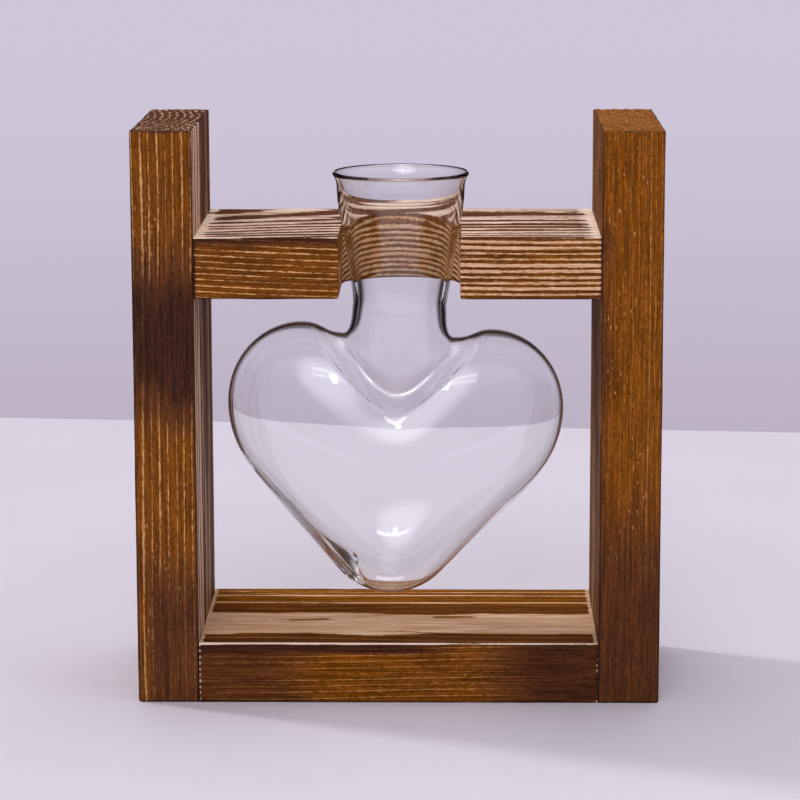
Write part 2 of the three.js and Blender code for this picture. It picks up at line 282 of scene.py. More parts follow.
@dataclass(frozen=True)
class CharredWood:
    """Softwood that was scorched, brushed along the grain and waxed."""

    name: str
    along: Axis
    cream: Rgb
    tan: Rgb
    sheen: float
    spark_share: float
    golden: Rgb = (128, 72, 12)
    brown: Rgb = (96, 54, 26)
    charcoal: Rgb = (64, 37, 26)
    line: Rgb = (222, 164, 98)
    dull_line: Rgb = (96, 58, 36)
    # Near-white that the painted light level mixes in: a painted sheen and painted light, not a bleach in the
    # wood.
    painted_light_white: Rgb = (255, 243, 234)
    fibre: Spots = Spots(0.5 * MM, 3.0, 0.6, 30.0)
    strand: Spots = Spots(2.2 * MM, 2.0, 0.55, 26.0)
    tatter: Spots = Spots(1.2 * MM, 2.0, 0.5, 6.0)
    fleck: Spots = Spots(0.32 * MM, 3.0, 0.6, 4.0)
    spark: Spots = Spots(0.5 * MM, 1.0, 0.5, 3.5)
    cloud: Spots = Spots(8.0 * MM, 3.0, 0.55, 2.5)
    char_clouds: float = 0.5
    char_flecks: float = 0.15
    brush_strands: float = 1.0
    brush_tatters: float = 0.5
    brush_flecks: float = 0.3
    browned: Span = (0.05, 0.55)
    blackened: Span = (0.5, 0.95)
    fibre_shade: Ramp = (0.34, 0.66, 0.64, 1.3)
    fleck_shade: Ramp = (0.36, 0.64, 0.72, 1.24)
    dulled: Span = (0.2, 0.85)
    creamy: Span = (0.32, 0.66)
    tanned: Ramp = (0.4, 0.7, 0.0, 0.6)
    bared: Span = (0.2, 1.0)
    line_width: Span = (0.02, 0.08)
    line_soft: float = 0.05
    line_fray: float = 0.16
    line_beads: Ramp = (0.34, 0.56, 0.4, 1.0)
    line_bared: Span = (0.3, 0.8)
    brush_start: float = 0.25
    brush_gain: Span = (0.301, 0.516)
    spark_spots: Span = (0.66, 0.74)
    spark_clouds: Span = (0.5, 0.6)
    spark_char: Span = (0.7, 0.2)
    gloss: Ramp = (0.2, 0.8, 0.5, 0.7)
    relief: float = 0.16 * MM
    relief_share: float = 0.5
    relief_strength: float = 0.8

    def material(self) -> Material:
        """Makes the material from the grain, scorch and brush marks, and the painted light, that a board's
        mesh holds.

        Returns:
            The material.
        """
        sheet = FinishSheet(self.name)
        kinds = (self.fibre, self.strand, self.tatter, self.fleck, self.spark, self.cloud)
        fibres, strands, tatters, flecks, sparks, clouds = (sheet.spots(kind, self.along) for kind in kinds)
        char = self._uneven(sheet, "char", (clouds, self.char_clouds), (flecks, self.char_flecks))
        brushing = ((strands, self.brush_strands), (tatters, self.brush_tatters), (flecks, self.brush_flecks))
        brushed = self._uneven(sheet, "brushed", *brushing)
        light = self._growth_lines(sheet, brushed, flecks)
        bright = self._bright(sheet, char, brushed, fibres, strands)
        colour = sheet.mix(light, self._ground(sheet, char, fibres, flecks), bright)
        shown = sheet.span(sparks, *self.spark_spots)
        shown = sheet.math("MULTIPLY", shown, sheet.span(clouds, *self.spark_clouds))
        shown = sheet.math("MULTIPLY", shown, sheet.span(char, *self.spark_char, 0.0, self.spark_share))
        height = sheet.math("MULTIPLY", light, self.relief_share)
        for marks in (fibres, flecks):
            height = sheet.math("ADD", height, sheet.math("MULTIPLY", marks, self.relief_share))
        sheet.set(
            Base_Color=sheet.mix(shown, colour, tone(self.line)),
            Roughness=sheet.span(flecks, *self.gloss),
            Specular_IOR_Level=self.sheen,
        )
        sheet.bump(height, self.relief, self.relief_strength)
        return sheet.material

    def _ground(self, sheet: FinishSheet, char: Socket, fibres: Socket, flecks: Socket) -> Socket:
        """Colours the wood between the growth lines.

        Args:
            sheet: The material's nodes.
            char: How deep the scorch is.
            fibres: Fine noise along the grain.
            flecks: Short noise along the grain.

        Returns:
            The colour's socket.
        """
        ground = sheet.mix(sheet.span(char, *self.browned), tone(self.golden), tone(self.brown))
        ground = sheet.mix(sheet.span(char, *self.blackened), ground, tone(self.charcoal))
        for marks, shade in ((fibres, self.fibre_shade), (flecks, self.fleck_shade)):
            ground = sheet.mix(1.0, ground, sheet.span(marks, *shade), "MULTIPLY")
        return ground

    def _bright(
        self, sheet: FinishSheet, char: Socket, brushed: Socket, fibres: Socket, strands: Socket
    ) -> Socket:
        """Colours the growth lines and the wood that the brush laid bare, whitened where the mesh holds
        painted light.

        Args:
            sheet: The material's nodes.
            char: How deep the scorch is.
            brushed: How much of the char is brushed off.
            fibres: Fine noise along the grain.
            strands: Wider noise along the grain.

        Returns:
            The colour's socket.
        """
        bright = sheet.mix(sheet.span(char, *self.dulled), tone(self.line), tone(self.dull_line))
        pale = sheet.mix(sheet.span(fibres, *self.creamy), tone(self.tan), tone(self.cream))
        pale = sheet.mix(sheet.span(strands, *self.tanned), pale, tone(self.tan))
        # Painted light: this level whitens the pale wood, a painted sheen on top faces and painted light on a
        # face that gets too little lamp light.
        pale = sheet.mix(sheet.attribute("painted_light"), pale, tone(self.painted_light_white))
        return sheet.mix(sheet.span(brushed, *self.bared), bright, pale)

    @staticmethod
    def _uneven(sheet: FinishSheet, level: str, *marks: tuple[Socket, float]) -> Socket:
        """Lets noise raise and lower a level that the mesh holds.

        Args:
            sheet: The material's nodes.
            level: The level's name.
            *marks: Noise from 0 to 1, each with how far it moves the level.

        Returns:
            The uneven level's socket.
        """
        result = sheet.attribute(level)
        for spots, amount in marks:
            shift = sheet.math("MULTIPLY", sheet.math("SUBTRACT", spots, 0.5), amount)
            result = sheet.math("ADD", result, shift)
        return result

    def _growth_lines(self, sheet: FinishSheet, brushed: Socket, flecks: Socket) -> Socket:
        """Draws the light line of each year's ring, wider where the brush took the char off.

        Args:
            sheet: The material's nodes.
            brushed: How much of the char is brushed off.
            flecks: Noise that frays the lines and breaks them into beads.

        Returns:
            The lines' socket, 1 in the middle of a line.
        """
        rings = sheet.attribute("rings")
        away = sheet.math("ABSOLUTE", sheet.math("SUBTRACT", sheet.math("FRACT", rings), 0.5))
        white = sheet.node("TexWhiteNoise")
        white.noise_dimensions = "1D"
        sheet.feed(white.inputs["W"], sheet.math("FLOOR", rings))
        year = sheet.span(white.outputs["Value"], 0.0, 1.0, *self.line_width)
        fray = sheet.math("MULTIPLY", sheet.math("SUBTRACT", flecks, 0.5), self.line_fray)
        bared = sheet.math("MAXIMUM", sheet.math("SUBTRACT", brushed, self.brush_start), 0.0)
        gain = sheet.span(white.outputs["Value"], 1.0, 0.0, *self.brush_gain)
        half = sheet.math("ADD", sheet.math("MULTIPLY", bared, gain), sheet.math("ADD", year, fray))
        inner = sheet.math("SUBTRACT", half, self.line_soft)
        outer = sheet.math("ADD", half, self.line_soft)
        line = sheet.span(away, inner, outer, 1.0, 0.0)
        shown = sheet.math("MULTIPLY", sheet.attribute("lines"), sheet.span(flecks, *self.line_beads))
        shown = sheet.math("MAXIMUM", shown, sheet.span(brushed, *self.line_bared))
        return sheet.math("MULTIPLY", line, shown)


@dataclass(frozen=True)
class ClearGlass:
    """Clear blown glass with the faint waves and smears of a hand-made piece."""

    name: str = "clear_glass"
    tint: Rgba = (0.985, 0.99, 0.995, 1.0)
    ior: float = 1.48
    wave: Spots = Spots(14.0 * MM, 1.0)
    wave_depth: float = 0.02 * MM
    wave_strength: float = 0.6
    smear: Spots = Spots(6.0 * MM, 3.0)
    smeared: Ramp = (0.62, 0.8, 0.0, 0.035)

    def material(self) -> Material:
        """Makes glass that bends light for the eye and lets lamps through to what stands behind it.

        Returns:
            The material.
        """
        sheet = FinishSheet(self.name)
        sheet.set(
            Base_Color=self.tint,
            IOR=self.ior,
            Transmission_Weight=1.0,
            Roughness=sheet.span(sheet.spots(self.smear), *self.smeared),
        )
        sheet.bump(sheet.spots(self.wave), self.wave_depth, self.wave_strength)
        both = sheet.node("MixShader")
        shaders = (sheet.shader.outputs[0], sheet.node("BsdfTransparent").outputs[0])
        for socket, value in zip(both.inputs, (sheet.node("LightPath").outputs["Is Shadow Ray"], *shaders)):
            sheet.feed(socket, value)
        sheet.feed(sheet.output.inputs["Surface"], both.outputs[0])
        return sheet.material


@dataclass(frozen=True)
class ZincSteel:
    """Zinc-plated steel, scuffed by the driver."""

    name: str = "screw_steel"
    bright: Rgb = (196, 198, 202)
    dull: Rgb = (128, 130, 134)
    blotch: Spots = Spots(1.6 * MM, 3.0)
    blotched: Span = (0.35, 0.7)
    scuff: Spots = Spots(0.25 * MM)
    scuffed: Ramp = (0.3, 0.75, 0.24, 0.5)
    scuff_depth: float = 0.02 * MM
    scuff_strength: float = 0.5

    def material(self) -> Material:
        """Makes the plated steel.

        Returns:
            The material.
        """
        sheet = FinishSheet(self.name)
        scuffs = sheet.spots(self.scuff)
        blotches = sheet.span(sheet.spots(self.blotch), *self.blotched)
        sheet.set(
            Base_Color=sheet.mix(blotches, tone(self.dull), tone(self.bright)),
            Metallic=1.0,
            Roughness=sheet.span(scuffs, *self.scuffed),
        )
        sheet.bump(scuffs, self.scuff_depth, self.scuff_strength)
        return sheet.material


@dataclass(frozen=True)
class PaleSurface:
    """A plain pale surface with faint unevenness, for the table."""

    name: str
    colour: Rgb
    roughness: float = 0.55
    sheen: float = 0.25
    cloud: Spots = Spots(0.16)
    shade: Ramp = (0.2, 0.8, 0.97, 1.02)

    def material(self) -> Material:
        """Makes the surface.

        Returns:
            The material.
        """
        sheet = FinishSheet(self.name)
        shade = sheet.span(sheet.spots(self.cloud), *self.shade)
        sheet.set(
            Base_Color=sheet.mix(1.0, tone(self.colour), shade, "MULTIPLY"),
            Roughness=self.roughness,
            Specular_IOR_Level=self.sheen,
        )
        return sheet.material


def mesh_object(name: str, points: Floats, faces: Sequence[Sequence[int]]) -> Piece:
    """Makes an object in the scene from points in metres.

    Args:
        name: The object's name.
        points: One row of three coordinates for each vertex.
        faces: Each face's vertices, counter-clockwise seen from outside.

    Returns:
        The object.
    """
    mesh = bpy.data.meshes.new(name)
    mesh.from_pydata(points.tolist(), [], faces)
    mesh.update()
    piece = bpy.data.objects.new(name, mesh)
    bpy.context.scene.collection.objects.link(piece)
    return piece


def grid_faces(rows: int, columns: int, closed: bool) -> Whole:
    """Lists the quads of a grid of points, numbered row by row.

    Args:
        rows: How many rows of points there are.
        columns: How many points each row has.
        closed: Whether each row's last point joins its first.

    Returns:
        Four vertex numbers for each quad.
    """
    steps = columns if closed else columns - 1
    row, step = np.meshgrid(np.arange(rows - 1) * columns, np.arange(steps), indexing="ij")
    after = (step + 1) % columns
    quads = [row + step, row + after, row + columns + after, row + columns + step]
    return np.stack(quads, -1).reshape(-1, 4)


def turns_of(steps: int) -> Floats:
    """Gives angles all round, in equal steps."""
    return np.arange(steps) * 2 * math.pi / steps


def ring(turns: Floats, radius: Floats | float, height: float) -> Floats:
    """Gives the places of one round about Z."""
    return np.stack([radius * np.cos(turns), radius * np.sin(turns), np.full(len(turns), height)], -1)


def capped(name: str, rings: Sequence[Floats], foot: Sequence[float], top: Sequence[float]) -> Piece:
    """Joins rings of points into a closed solid with a point at each end.

    Args:
        name: The object's name.
        rings: The rings from the foot on, with as many points each.
        foot: The point before the first ring.
        top: The point after the last ring.

    Returns:
        The object.
    """
    steps = len(rings[0])
    points = np.concatenate([*rings, [foot, top]])
    faces = grid_faces(len(rings), steps, closed=True).tolist()
    last = (len(rings) - 1) * steps
    for step in range(steps):
        after = (step + 1) % steps
        faces.append([len(points) - 2, after, step])
        faces.append([len(points) - 1, last + step, last + after])
    return mesh_object(name, points, faces)


def cut_away(piece: Piece, cutters: Sequence[Piece]) -> None:
    """Cuts solids out of a piece and removes them.

    Args:
        piece: The piece to cut.
        cutters: The solids to cut out of it.
    """
    for cutter in cutters:
        boolean = piece.modifiers.new(cutter.name, "BOOLEAN")
        boolean.operation = "DIFFERENCE"
        boolean.solver = "MANIFOLD"
        boolean.object = cutter
    cut = bpy.data.meshes.new_from_object(piece.evaluated_get(bpy.context.evaluated_depsgraph_get()))
    cut.name = piece.name
    piece.modifiers.clear()
    piece.data = cut
    for cutter in cutters:
        bpy.data.objects.remove(cutter)


def shade_smooth(piece: Piece, sharp_degrees: float) -> None:
    """Smooths a piece's faces, apart from its sharp edges.

    Args:
        piece: The piece.
        sharp_degrees: The least angle between two faces that stays sharp.
    """
    mesh = piece.data
    mesh.polygons.foreach_set("use_smooth", np.ones(len(mesh.polygons), bool))
    mesh.set_sharp_from_angle(angle=math.radians(sharp_degrees))


def dress(piece: Piece, material: Material, body: str, node: str) -> None:
    """Gives a piece its material, hangs it on the body that carries it, and hides the node that it replaces.

    Args:
        piece: The piece.
        material: Its material.
        body: The body that carries it.
        node: The node that it replaces.
    """
    piece.data.materials.clear()
    piece.data.materials.append(material)
    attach(piece, body)
    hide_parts(node)
    LOG.info("%s: %d faces", piece.name, len(piece.data.polygons))


@dataclass(frozen=True)
class Rings:
    """The growth rings that run through a board, in millimetres from the board's middle."""

    pith_thick: float
    pith_wide: float
    spacing: float
    start: float = 0.0
    lean: float = 0.0
    sway: float = 0.5
    sway_length: float = 150.0
    sway_start: float = 0.0
    wander: float = 0.35
    wander_size: Span = (42.0, 9.0)
    ripple: float = 0.16
    ripple_size: Span = (70.0, 2.4)

    def count(self, along: Floats, thick: Floats, wide: Floats) -> Floats:
        """Counts the rings from the pith out to each point.

        Args:
            along: Places along the grain.
            thick: Places across the board's thickness.
            wide: Places across its width.

        Returns:
            The count, with the part of a year that has passed as its fraction.
        """
        turn = 2 * math.pi * (along / self.sway_length + self.sway_start)
        bend = self.sway * np.sin(turn) + self.lean * along
        away = np.hypot(thick - self.pith_thick - bend, wide - self.pith_wide)
        kinds = ((self.wander_size, self.pith_wide), (self.ripple_size, -self.pith_wide))
        slow, quick = (
            noise_at(np.stack([along / long, thick / short, wide / short], -1) + shift)
            for (long, short), shift in kinds
        )
        return (away + self.wander * slow + self.ripple * quick) / self.spacing + self.start


@dataclass(frozen=True)
class Patch:
    """A stretch of a board that was scorched or brushed in its own way, or whitened with painted light, in
    millimetres of the frame.
    """

    char: float | None = None
    brushed: float | None = None
    lines: float | None = None
    # Painted light that whitens the patch.
    painted_light: float | None = None
    x: Span = EVERYWHERE
    y: Span = EVERYWHERE
    z: Span = EVERYWHERE
    face: Face | None = None
    soft: Place = (1.0, 1.0, 1.0)
    wander: float = 0.6

    def share(self, places: Floats, normals: Floats, waves: Floats) -> Floats:
        """Says how much of each point lies in the patch.

        Args:
            places: The points, in millimetres.
            normals: The surface's normals there.
            waves: Noise that moves the patch's edge.

        Returns:
            From 0 outside to 1 inside.
        """
        share = np.ones(len(places)) if self.face is None else self.face.share(normals)
        for axis, (low, high) in enumerate((self.x, self.y, self.z)):
            half = self.soft[axis] / 2
            value = places[:, axis] + waves * self.wander
            if math.isfinite(low):
                share = share * smoothstep(low - half, low + half, value)
            if math.isfinite(high):
                share = share * (1 - smoothstep(high - half, high + half, value))
        return share


# Places of the grid lines near a board's end, in times its ease
EASED_LINES = (0.0, 0.48, 1.04, 1.6)
PLAIN_LINES = (0.0, 0.5, 1.4, 2.2, 3.0, 5.0)
# Marks that a board's mesh holds at each point, besides its rings; the last one is painted light, not a mark
# on the wood
LEVELS = ("char", "brushed", "lines", "painted_light")


@dataclass
class Board:
    """One board of the stand: fine enough for its grain to stand proud, and dressed along the grain.

    Sizes given times MM are in metres. The others are in millimetres, and levels run from 0 to 1.
    """

    node: str
    slot: str
    along: Axis
    rings: Rings
    char: float
    lines: float
    patches: tuple[Patch, ...]
    ends_eased: bool
    brushed: float = 0.0
    # How much painted light whitens the board before its patches.
    painted_light: float = 0.0
    cream: Rgb = (255, 224, 196)
    tan: Rgb = (208, 152, 108)
    sheen: float = 0.06
    spark_share: float = 0.75
    step_across: float = 0.42 * MM
    step_along: float = 2.2 * MM
    ease: float = 0.5 * MM
    ease_waves: tuple[Span, ...] = ((7.0 * MM, 1.0), (1.7 * MM, 0.6))
    ease_swing: float = 0.55
    ease_limits: Span = (0.45, 1.6)
    edge_darkening: float = 0.8
    edge_width: Span = (0.05, 0.55)
    edge_wander: float = 0.2
    edge_bared: Span = (0.3, 0.9)
    wave_size: Span = (22.0, 5.0)
    waves: tuple[Span, ...] = ((1.0, 1.0), (1 / 3.1, 0.5), (1 / 7.3, 0.3))
    tears: tuple[Span, ...] = ((1.3, 1.3), (0.7, 0.6))
    end_tear: float = 0.5
    end_relief: float = 0.24 * MM
    end_grain: float = 0.5
    grain_relief: float = 0.1 * MM
    ridge: float = 0.1
    ridge_gain: float = 0.4
    ridge_start: float = 0.25
    ridge_edge: Span = (0.1, 0.14)
    sole: Span = (0.3, 0.8)
    sole_height: float = 1.0
    sharp_degrees: float = 50.0
    cutters: list[Piece] = field(default_factory=list)

    @property
    def thick(self) -> Axis:
        """The axis across the board's thickness."""
        return Axis.X if self.along is Axis.Z else Axis.Z

    def ends(self, normals: Floats) -> Floats:
        """Says how much each normal looks along the grain, from 0 to 1."""
        return np.abs(normals[:, self.along]) ** 4

    def grid_lines(self, axis: Axis, low: float, high: float) -> Floats:
        """Spaces grid lines over one axis, close together at an eased edge.

        Args:
            axis: The axis.
            low: Where the board starts on it.
            high: Where the board ends on it.

        Returns:
            The lines' places in metres.
        """
        step = self.step_along if axis is self.along else self.step_across
        eased = axis is not self.along or self.ends_eased
        near = np.array(EASED_LINES if eased else PLAIN_LINES) * self.ease
        count = max(int((high - low - 2 * near[-1]) / step), 1)
        middle = np.linspace(low + near[-1], high - near[-1], count + 1)
        return np.unique(np.concatenate([low + near, middle, high - near]).round(SNAP_DIGITS))

    def blank(self) -> Piece:
        """Makes the board as a closed block of fine quads.

        Returns:
            The block.
        """
        low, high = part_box(self.node)
        grid = [self.grid_lines(axis, low[axis], high[axis]) for axis in Axis]
        points: list[Floats] = []
        faces: list[Whole] = []
        count = 0
        for axis in Axis:
            first, second = (axis + 1) % 3, (axis + 2) % 3
            for end, outward in ((grid[axis][0], False), (grid[axis][-1], True)):
                u, v = np.meshgrid(grid[first], grid[second], indexing="ij")
                sheet = np.empty((u.size, 3))
                sheet[:, axis] = end
                sheet[:, first] = u.ravel()
                sheet[:, second] = v.ravel()
                quads = grid_faces(len(grid[first]), len(grid[second]), closed=False) + count
                faces.append(quads[:, ::-1] if outward else quads)
                points.append(sheet)
                count += len(sheet)
        whole = np.concatenate(points).round(SNAP_DIGITS)
        shared, index = np.unique(whole, axis=0, return_inverse=True)
        quads = index.reshape(-1)[np.concatenate(faces)]
        return mesh_object(f"{self.node}_board", self.eased(shared), quads.tolist())

    def eased(self, points: Floats) -> Floats:
        """Rounds the block's edges, unevenly as sanding leaves them.

        Args:
            points: Points on the block's faces, in metres.

        Returns:
            The points with the edges rounded.
        """
        low, high = (np.array(corner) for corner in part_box(self.node))
        swing = 1.0 + self.ease_swing * octaves(points, self.ease_waves)
        radius = self.ease * np.clip(swing, *self.ease_limits)[:, None] * np.ones(3)
        if not self.ends_eased:
            radius[:, self.along] = 0.0
        inner = np.clip(points, low + radius, high - radius)
        away = points - inner
        length = np.linalg.norm(away, axis=1, keepdims=True)
        return inner + away / np.maximum(length, TINY) * radius.max(axis=1, keepdims=True)

    def levels(self, places: Floats, normals: Floats, waves: Floats) -> dict[str, Floats]:
        """Works out how scorched, brushed and lined each point is, and how much painted light whitens it.

        Args:
            places: The points, in millimetres.
            normals: The surface's normals there.
            waves: Noise that moves the patches' edges.

        Returns:
            The levels by name.
        """
        levels = {name: np.full(len(places), getattr(self, name)) for name in LEVELS}
        for patch in self.patches:
            share = patch.share(places, normals, waves)
            for name, level in levels.items():
                goal = getattr(patch, name)
                if goal is not None:
                    level += (goal - level) * share
        low, high = (np.array(corner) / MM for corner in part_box(self.node))
        inset = np.sort(np.minimum(places - low, high - places), axis=1)[:, 1]
        # Darker along every edge, fading where the brush bared the wood; it is added to the char level.
        edge = 1 - smoothstep(*self.edge_width, inset + self.edge_wander * waves)
        levels["char"] += self.edge_darkening * edge * (1 - smoothstep(*self.edge_bared, levels["brushed"]))
        return levels

    def grain(self, piece: Piece) -> None:
        """Writes rings, scorch and brush marks and painted light on the board's points, and sinks what the
        brush took off.

        Args:
            piece: The board, cut to its final shape.
        """
        mesh = piece.data
        places, normals = np.empty(len(mesh.vertices) * 3), np.empty(len(mesh.vertices) * 3)
        mesh.vertices.foreach_get("co", places)
        mesh.vertex_normals.foreach_get("vector", normals)
        places, normals = places.reshape(-1, 3) / MM, normals.reshape(-1, 3)
        low, high = (np.array(corner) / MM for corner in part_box(self.node))
        local = places - (low + high) / 2
        rings = self.rings.count(*(local[:, axis] for axis in (self.along, self.thick, Axis.Y)))
        size = np.full(3, self.wave_size[1])
        size[self.along] = self.wave_size[0]
        levels = self.levels(places, normals, octaves(places / size, self.waves))
        torn = np.clip(0.5 + octaves(places, self.tears), 0.0, 1.0)
        levels["char"] += self.end_tear * self.ends(normals) * (torn - 0.5)
        for name, values in (("rings", rings), *levels.items()):
            mesh.attributes.new(name, "FLOAT", "POINT").data.foreach_set("value", values.astype(np.float32))
        half = self.ridge + self.ridge_gain * np.maximum(levels["brushed"] - self.ridge_start, 0.0)
        inner, outer = half - self.ridge_edge[0], half + self.ridge_edge[1]
        hollow = smoothstep(inner, outer, np.abs(rings % 1.0 - 0.5))
        self.sink(mesh, places, normals, hollow, torn)

    def sink(
        self, mesh: bpy.types.Mesh, places: Floats, normals: Floats, hollow: Floats, torn: Floats
    ) -> None:
        """Sinks the wood between the growth lines and tears the end grain, but keeps the sole flat.

        Args:
            mesh: The board's mesh.
            places: Its points, in millimetres.
            normals: The normals there.
            hollow: How far each point lies between two growth lines, from 0 to 1.
            torn: How deep the end grain would be torn there, from 0 to 1.
        """
        end = self.ends(normals)
        depth = hollow * self.grain_relief * (1 - self.end_grain * end) + self.end_relief * end * torn
        depth *= 1 - smoothstep(*self.sole, -normals[:, Axis.Z]) * (places[:, Axis.Z] < self.sole_height)
        if not self.ends_eased:
            depth *= 1 - end
        mesh.vertices.foreach_set("co", (places * MM - normals * depth[:, None]).ravel())
        mesh.update()

    def build(self) -> None:
        """Makes the board, cuts it, dresses it and sets it in the stand."""
        piece = self.blank()
        cut_away(piece, self.cutters)
        self.grain(piece)
        shade_smooth(piece, self.sharp_degrees)
        colours = (self.cream, self.tan, self.sheen, self.spark_share)
        wood = CharredWood(f"{self.node}_wood", self.along, *colours)
        dress(piece, wood.material(), STAND, self.node)


@dataclass(frozen=True)
class Notch:
    """The U-shaped notch in the upper rail, with its upper and lower edges eased."""

    middle_x: float = 0.5 * MM
    setback: float = 22.7 * MM
    radius: float = 14.65 * MM
    ease: float = 0.5 * MM
    ease_steps: int = 5
    margin: float = 4.0 * MM
    arc_steps: int = 72
    side_steps: int = 24
    row_step: float = 0.6 * MM

    def outline(self, spread: float, front: float, height: float) -> Floats:
        """Draws the notch from its front left round the back to its front right.

        Args:
            spread: How far the outline lies outside the notch's own.
            front: The y of the rail's front face.
            height: The outline's height.

        Returns:
            Places in metres.
        """
        radius = self.radius + spread
        middle_y = front + self.setback
        turns = np.linspace(math.pi, 0.0, self.arc_steps + 1)
        run = np.linspace(front - self.margin, middle_y, self.side_steps, endpoint=False)
        side = np.full(self.side_steps, radius)
        x = np.concatenate([-side, radius * np.cos(turns), side])
        y = np.concatenate([run, middle_y + radius * np.sin(turns), run[::-1]])
        return np.stack([self.middle_x + x, y, np.full(len(x), height)], -1)

    def cutter(self, low: Vector, high: Vector) -> Piece:
        """Makes the solid that the notch is cut with.

        Args:
            low: The rail's lowest corner.
            high: The rail's highest corner.

        Returns:
            The solid.
        """
        rounds = [
            (self.ease * (1 - math.sin(turn)), self.ease * (1 - math.cos(turn)))
            for turn in np.linspace(0.0, math.pi / 2, self.ease_steps)
        ]
        middle = np.arange(low.z + self.ease, high.z - self.ease, self.row_step)[1:]
        rows = [
            (low.z - self.margin, self.ease),
            *((low.z + inset, spread) for inset, spread in reversed(rounds)),
            *((z, 0.0) for z in middle),
            *((high.z - inset, spread) for inset, spread in rounds),
            (high.z + self.margin, self.ease),
        ]
        outlines = [self.outline(spread, low.y, z) for z, spread in rows]
        points, length = np.concatenate(outlines), len(outlines[0])
        faces = grid_faces(len(rows), length, closed=True)[:, ::-1].tolist()
        faces.append(list(range(length)))
        faces.append(list(range(len(points) - 1, len(points) - 1 - length, -1)))
        return mesh_object("notch_cutter", points, faces)


@dataclass(frozen=True)
class Screw:
    """A countersunk wood screw with a cross recess and a rolled thread."""

    length: float = 32.0 * MM
    diameter: float = 3.5 * MM
    core: float = 2.3 * MM
    shank: float = 2.87 * MM
    shank_end: float = 0.4 * MM
    head: float = 7.0 * MM
    head_depth: float = 2.4 * MM
    head_land: float = 0.3 * MM
    head_neck: float = 0.3 * MM
    head_face: float = 5.25 * MM
    bevel: float = 0.06 * MM
    rim_round: float = 0.08 * MM
    point: float = 5.0 * MM
    point_start: float = 0.12 * MM
    thread_pitch: float = 1.6 * MM
    thread_ridge: float = 0.28
    row_step: float = 0.16 * MM
    plain: float = 7.0 * MM
    clearance: float = 0.2 * MM
    recess_span: float = 3.8 * MM
    recess_width: float = 1.0 * MM
    recess_foot: Span = (-1.4 * MM, 0.55)
    recess_mouth: Span = (0.4 * MM, 1.1)
    steps: int = 32
    hole_steps: int = 56
    sharp_degrees: float = 35.0

    def blank(self) -> Piece:
        """Turns the screw with its thread, head up, with the top of its head at the origin.

        Returns:
            The screw without its recess.
        """
        turns = turns_of(self.steps)
        rings: list[Floats] = []
        for row in np.arange(self.point_start, self.length - self.plain, self.row_step):
            taper = min(row / self.point, 1.0)
            phase = (row / self.thread_pitch - turns / (2 * math.pi)) % 1.0
            ridge = np.clip(1 - np.abs(phase - 0.5) / self.thread_ridge, 0.0, 1.0)
            end = min((self.length - self.plain - row) / self.thread_pitch, 1.0)
            radius = taper * (self.core + (self.diameter - self.core) * ridge * end) / 2
            rings.append(ring(turns, radius, row - self.length))
        for across, height in (
            (self.core, -self.plain),
            (self.shank, -self.plain + self.shank_end),
            (self.shank, -self.head_depth - self.head_neck),
            (self.diameter, -self.head_depth),
            (self.head - 2 * self.bevel, -self.head_land - self.bevel),
            (self.head, -self.head_land),
            (self.head, -self.rim_round),
            (self.head - 2 * self.rim_round, 0.0),
            (self.head_face, 0.0),
        ):
            rings.append(ring(turns, across / 2, height))
        return capped("screw_blank", rings, (0.0, 0.0, -self.length), (0.0, 0.0, 0.0))

    def recess(self, turn: float) -> Piece:
        """Makes one tapered bar of the cross recess.

        Args:
            turn: The bar's angle about the screw's axis.

        Returns:
            The bar, to cut out of the head.
        """
        cos, sin = math.cos(turn), math.sin(turn)
        corners: list[Place] = []
        for height, shrink in (self.recess_foot, self.recess_mouth):
            x = self.recess_span / 2 * shrink
            y = self.recess_width / 2 * (0.5 + 0.5 * shrink)
            for side_x, side_y in ((-x, -y), (x, -y), (x, y), (-x, y)):
                corners.append((side_x * cos - side_y * sin, side_x * sin + side_y * cos, height))
        sides = [[k, (k + 1) % 4, (k + 1) % 4 + 4, k + 4] for k in range(4)]
        return mesh_object("recess_cutter", np.array(corners), [[3, 2, 1, 0], [4, 5, 6, 7], *sides])

    def hole(self, node: str) -> Piece:
        """Makes the solid that a countersunk hole for this screw is cut with.

        Args:
            node: The screw's node.

        Returns:
            The solid.
        """
        gap = self.clearance
        shank, head = self.diameter / 2 + gap, self.head / 2 + gap
        profile = (
            (shank, -self.length + self.point - gap),
            (shank, -self.head_depth - gap),
            (head, -self.head_land - gap),
            (head, self.head),
        )
        rings = [ring(turns_of(self.hole_steps), radius, height) for radius, height in profile]
        cutter = capped("hole_cutter", rings, (0.0, 0.0, -self.length - gap), (0.0, 0.0, self.head))
        cutter.data.transform(self.place(node, 0.0))
        return cutter

    @staticmethod
    def place(node: str, turn: float) -> Matrix:
        """Finds where a screw stands from its node's box.

        Args:
            node: The screw's node.
            turn: How far the screw is turned about its axis.

        Returns:
            The matrix from the screw's own axes to the frame.
        """
        low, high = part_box(node)
        middle = (low + high) / 2
        right = middle.x > 0
        head = Vector((high.x if right else low.x, middle.y, middle.z))
        lay = Matrix.Rotation(math.radians(90 if right else -90), 4, "Y")
        return Matrix.Translation(head) @ lay @ Matrix.Rotation(turn, 4, "Z")

    def build(self, nodes: Sequence[str], finish: ZincSteel) -> None:
        """Makes a screw at each node, turned as the driver left it.

        Args:
            nodes: The screws' nodes.
            finish: Their finish.
        """
        blank = self.blank()
        cut_away(blank, [self.recess(0.0), self.recess(math.pi / 2)])
        shade_smooth(blank, self.sharp_degrees)
        steel = finish.material()
        for number, node in enumerate(nodes):
            piece = bpy.data.objects.new(f"{node}_threaded", blank.data)
            bpy.context.scene.collection.objects.link(piece)
            piece.matrix_world = self.place(node, float(number))
            dress(piece, steel, STAND, node)
        bpy.data.objects.remove(blank)


